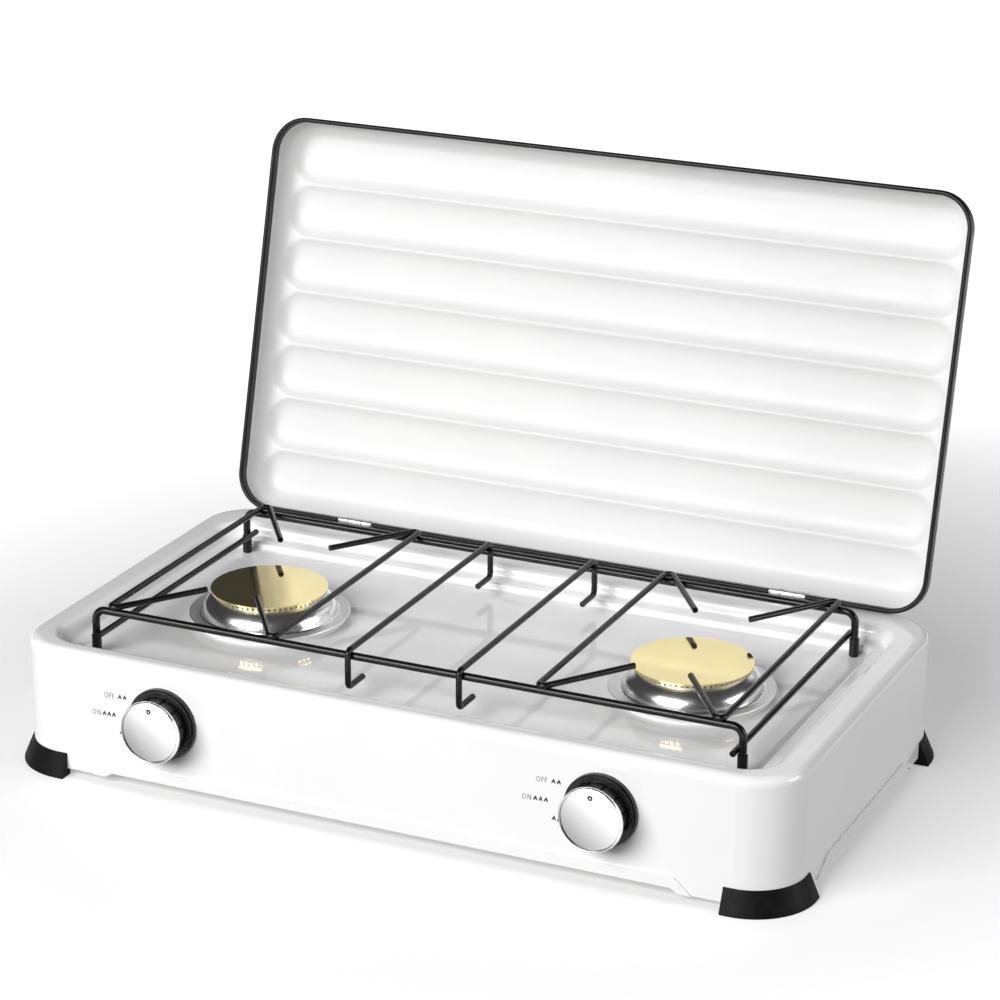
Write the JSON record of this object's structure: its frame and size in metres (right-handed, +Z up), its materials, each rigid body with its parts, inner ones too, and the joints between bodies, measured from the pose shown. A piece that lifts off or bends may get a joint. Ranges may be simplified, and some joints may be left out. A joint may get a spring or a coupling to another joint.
{
  "type": "two-burner gas camping stove",
  "caption": "White tabletop gas stove with brass-topped burners, a black wire grate, push-and-turn knobs, black corner feet and a ribbed lid hinged at the rear",
  "frame": {"origin": "on the surface the stove stands on, below the middle of the box around the whole stove with its lid open: midway between the two burners, and 36.74 mm behind their centre line", "axes": "+X to the right as seen from the front, +Y to the rear where the lid is hinged, +Z up"},
  "size_m": [0.544, 0.3894, 0.3565],
  "materials": {
    "white_enamel": "glossy white vitreous enamel on pressed steel",
    "black_rubber": "matt moulded black rubber",
    "black_edging": "satin black edging strip",
    "black_rod": "satin black enamel on round steel rod",
    "polished_steel": "polished pressed steel",
    "brass_cap": "fine turned brass",
    "brass_fitting": "machined brass",
    "cast_aluminium": "cast aluminium",
    "zinc_steel": "zinc plated steel",
    "knob_black": "semi-gloss moulded black plastic",
    "knob_chrome": "mirror chromed disc"
  },
  "bodies": {
    "base": {"body_shell": "white_enamel", "foot_front_left": "black_rubber", "foot_front_right": "black_rubber", "foot_rear_left": "black_rubber", "foot_rear_right": "black_rubber", "hinge_base_left": "zinc_steel", "hinge_base_right": "zinc_steel", "hinge_pin_left": "zinc_steel", "hinge_pin_right": "zinc_steel", "hinge_base_rivets": "zinc_steel", "burner_collar_left": "polished_steel", "burner_collar_right": "polished_steel", "burner_cup_left": "cast_aluminium", "burner_cup_right": "cast_aluminium", "burner_ring_nut_left": "zinc_steel", "burner_ring_nut_right": "zinc_steel", "mixing_tube_left": "cast_aluminium", "mixing_tube_right": "cast_aluminium", "gas_jet_left": "brass_fitting", "gas_jet_right": "brass_fitting", "gas_tap_left": "brass_fitting", "gas_tap_right": "brass_fitting", "tap_nut_left": "zinc_steel", "tap_nut_right": "zinc_steel", "knob_spring_left": "zinc_steel", "knob_spring_right": "zinc_steel", "knob_bezel_left": "knob_black", "knob_bezel_right": "knob_black", "gas_pipe": "zinc_steel", "inlet_nozzle": "brass_fitting", "inlet_nut": "zinc_steel"},
    "lid": {"lid_shell": "white_enamel", "lid_trim": "black_edging", "hinge_leaf_left": "zinc_steel", "hinge_leaf_right": "zinc_steel", "hinge_leaf_rivets": "zinc_steel"},
    "grate": {"grate_rail_front": "black_rod", "grate_rail_rear": "black_rod", "grate_side_rod_left": "black_rod", "grate_side_rod_right": "black_rod", "grate_finger_outer_left": "black_rod", "grate_finger_inner_left": "black_rod", "grate_finger_inner_right": "black_rod", "grate_finger_outer_right": "black_rod", "grate_centre_rod_left": "black_rod", "grate_centre_rod_right": "black_rod", "grate_leg_caps": "black_rod"},
    "cap_left": {"burner_cap_left": "brass_cap"},
    "knob_push_left": {"spindle_washer_left": "zinc_steel"},
    "knob_turn_left": {"knob_spindle_left": "zinc_steel", "knob_grip_left": "knob_black", "knob_face_left": "knob_chrome", "knob_pointer_left": "knob_black"},
    "cap_right": {"burner_cap_right": "brass_cap"},
    "knob_push_right": {"spindle_washer_right": "zinc_steel"},
    "knob_turn_right": {"knob_spindle_right": "zinc_steel", "knob_grip_right": "knob_black", "knob_face_right": "knob_chrome", "knob_pointer_right": "knob_black"}
  },
  "joints": [
    {"name": "lid_hinge", "type": "hinge", "parent": "base", "child": "lid", "pos_m": [0, 0.10816, 0.0902], "axis": [-1, 0, 0], "range_deg": [-104.7, 0]},
    {"name": "grate_lift", "type": "slide", "parent": "base", "child": "grate", "axis": [0, 0, 1], "range_m": [0, 0.06]},
    {"name": "cap_lift_left", "type": "slide", "parent": "base", "child": "cap_left", "axis": [0, 0, 1], "range_m": [0, 0.025]},
    {"name": "knob_push_left", "type": "slide", "parent": "base", "child": "knob_push_left", "axis": [0, 1, 0], "range_m": [0, 0.003], "stiffness_N_per_m": 1000, "springref_m": -0.002, "deforming": ["knob_spring_left"]},
    {"name": "knob_turn_left", "type": "hinge", "parent": "knob_push_left", "child": "knob_turn_left", "pos_m": [-0.1532, -0.18674, 0.05], "axis": [0, -1, 0], "range_deg": [0, 180]},
    {"name": "cap_lift_right", "type": "slide", "parent": "base", "child": "cap_right", "axis": [0, 0, 1], "range_m": [0, 0.025]},
    {"name": "knob_push_right", "type": "slide", "parent": "base", "child": "knob_push_right", "axis": [0, 1, 0], "range_m": [0, 0.003], "stiffness_N_per_m": 1000, "springref_m": -0.002, "deforming": ["knob_spring_right"]},
    {"name": "knob_turn_right", "type": "hinge", "parent": "knob_push_right", "child": "knob_turn_right", "pos_m": [0.1468, -0.18674, 0.05], "axis": [0, -1, 0], "range_deg": [0, 180]}
  ]
}
